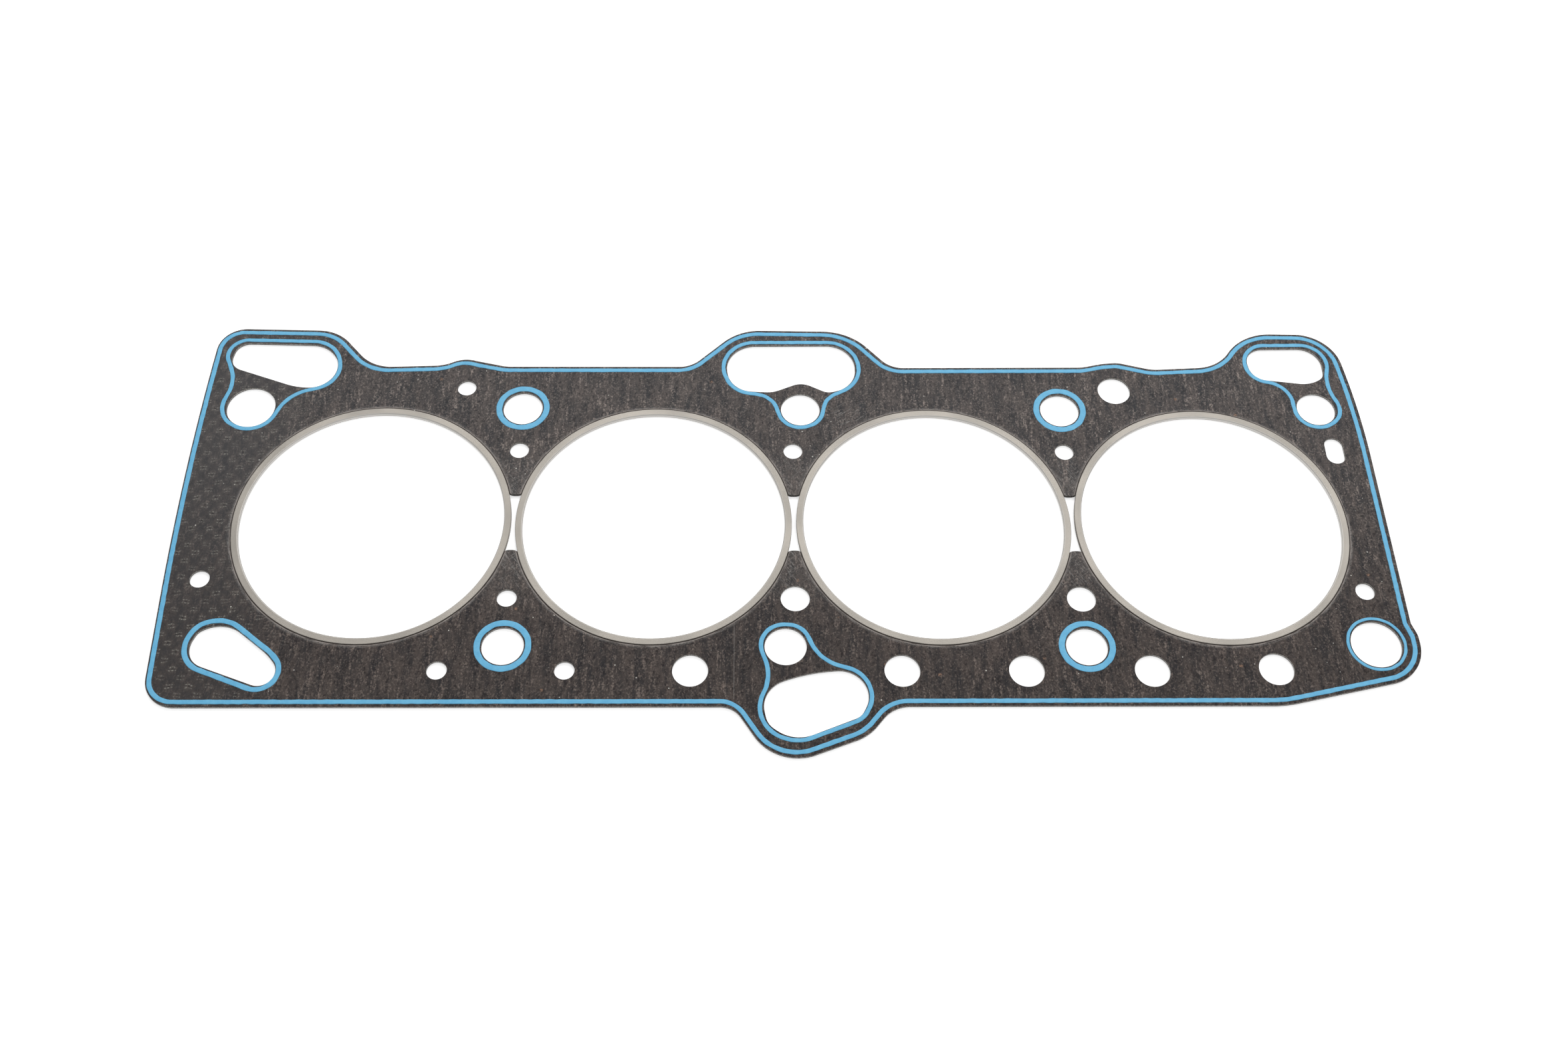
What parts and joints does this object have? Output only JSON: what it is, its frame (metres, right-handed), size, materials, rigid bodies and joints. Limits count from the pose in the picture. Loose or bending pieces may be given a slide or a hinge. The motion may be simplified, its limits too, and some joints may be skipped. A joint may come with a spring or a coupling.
{
  "type": "cylinder head gasket",
  "caption": "Flat composite cylinder head gasket with folded steel fire rings round its bores, raised sealing beads, and holes for head bolts, sleeves, coolant and oil.",
  "frame": {"origin": "middle of the row of bores at half the thickness, which is also the middle of the inner head bolts", "axes": "+X along the row of cylinders from the drain end to the timing end, +Y across to the exhaust edge, +Z along the head bolts out of the head side"},
  "size_m": [0.4045, 0.1649, 0.0016],
  "materials": {
    "ring_steel": "satin rolled steel strip with a faint warm tint, brighter at the folded rim",
    "core_steel": "plain punched steel sheet, seen only as a thin line in the cut edges",
    "facing": "matt charcoal fibre sheet with fine streaks, tan specks and faint dimples over the core's tangs",
    "sealing_bead": "light blue printed silicone, satin, slightly uneven at its edges"
  },
  "bodies": {
    "root": {"core_plate": "core_steel", "upper_facing": "facing", "lower_facing": "facing", "fire_ring_1": "ring_steel", "fire_ring_2": "ring_steel", "fire_ring_3": "ring_steel", "fire_ring_4": "ring_steel", "upper_edge_bead": "sealing_bead", "upper_drain_port_bead": "sealing_bead", "upper_centre_port_bead": "sealing_bead", "upper_timing_port_bead": "sealing_bead", "upper_feed_port_bead": "sealing_bead", "upper_drain_slot_bead": "sealing_bead", "upper_dowel_bead": "sealing_bead", "upper_bolt_bead_1": "sealing_bead", "upper_bolt_bead_2": "sealing_bead", "upper_bolt_bead_3": "sealing_bead", "upper_bolt_bead_4": "sealing_bead", "lower_edge_bead": "sealing_bead", "lower_drain_port_bead": "sealing_bead", "lower_centre_port_bead": "sealing_bead", "lower_timing_port_bead": "sealing_bead", "lower_feed_port_bead": "sealing_bead", "lower_drain_slot_bead": "sealing_bead", "lower_dowel_bead": "sealing_bead", "lower_bolt_bead_1": "sealing_bead", "lower_bolt_bead_2": "sealing_bead", "lower_bolt_bead_3": "sealing_bead", "lower_bolt_bead_4": "sealing_bead"}
  },
  "joints": []
}
